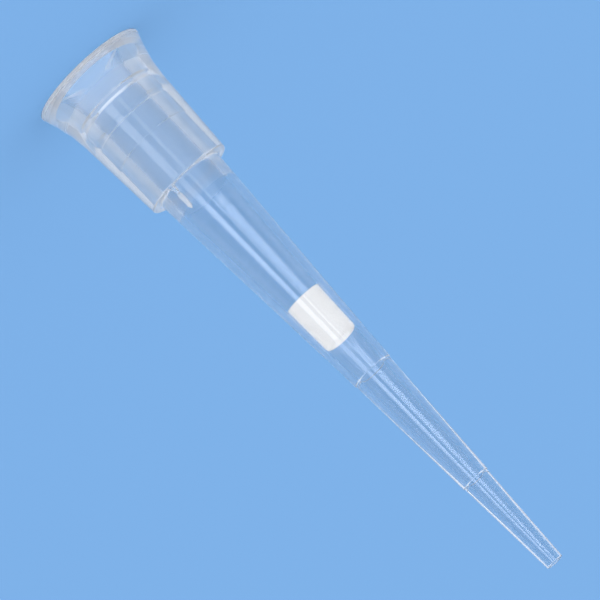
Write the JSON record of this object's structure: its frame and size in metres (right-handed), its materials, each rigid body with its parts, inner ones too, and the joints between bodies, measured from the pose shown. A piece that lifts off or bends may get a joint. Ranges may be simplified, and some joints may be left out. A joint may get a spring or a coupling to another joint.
{
  "type": "pipette tip",
  "caption": "Clear tapered pipette tip with a flared collar, a stepped barrel, a fine point and a white filter plug inside.",
  "frame": {"origin": "centre of the mouth plane, at the bottom of the collar's lip", "axes": "+Z along the bore axis from the mouth to the point; the gate vestige on the ledge lies towards -Y"},
  "size_m": [0.006, 0.006, 0.032],
  "materials": {
    "clear_polypropylene": "clear natural polypropylene, polished mould, faintly hazy",
    "porous_polyethylene": "white sintered porous polyethylene, fine-grained and matte"
  },
  "bodies": {
    "root": {"tip_body": "clear_polypropylene", "filter_plug": "porous_polyethylene"}
  },
  "joints": []
}
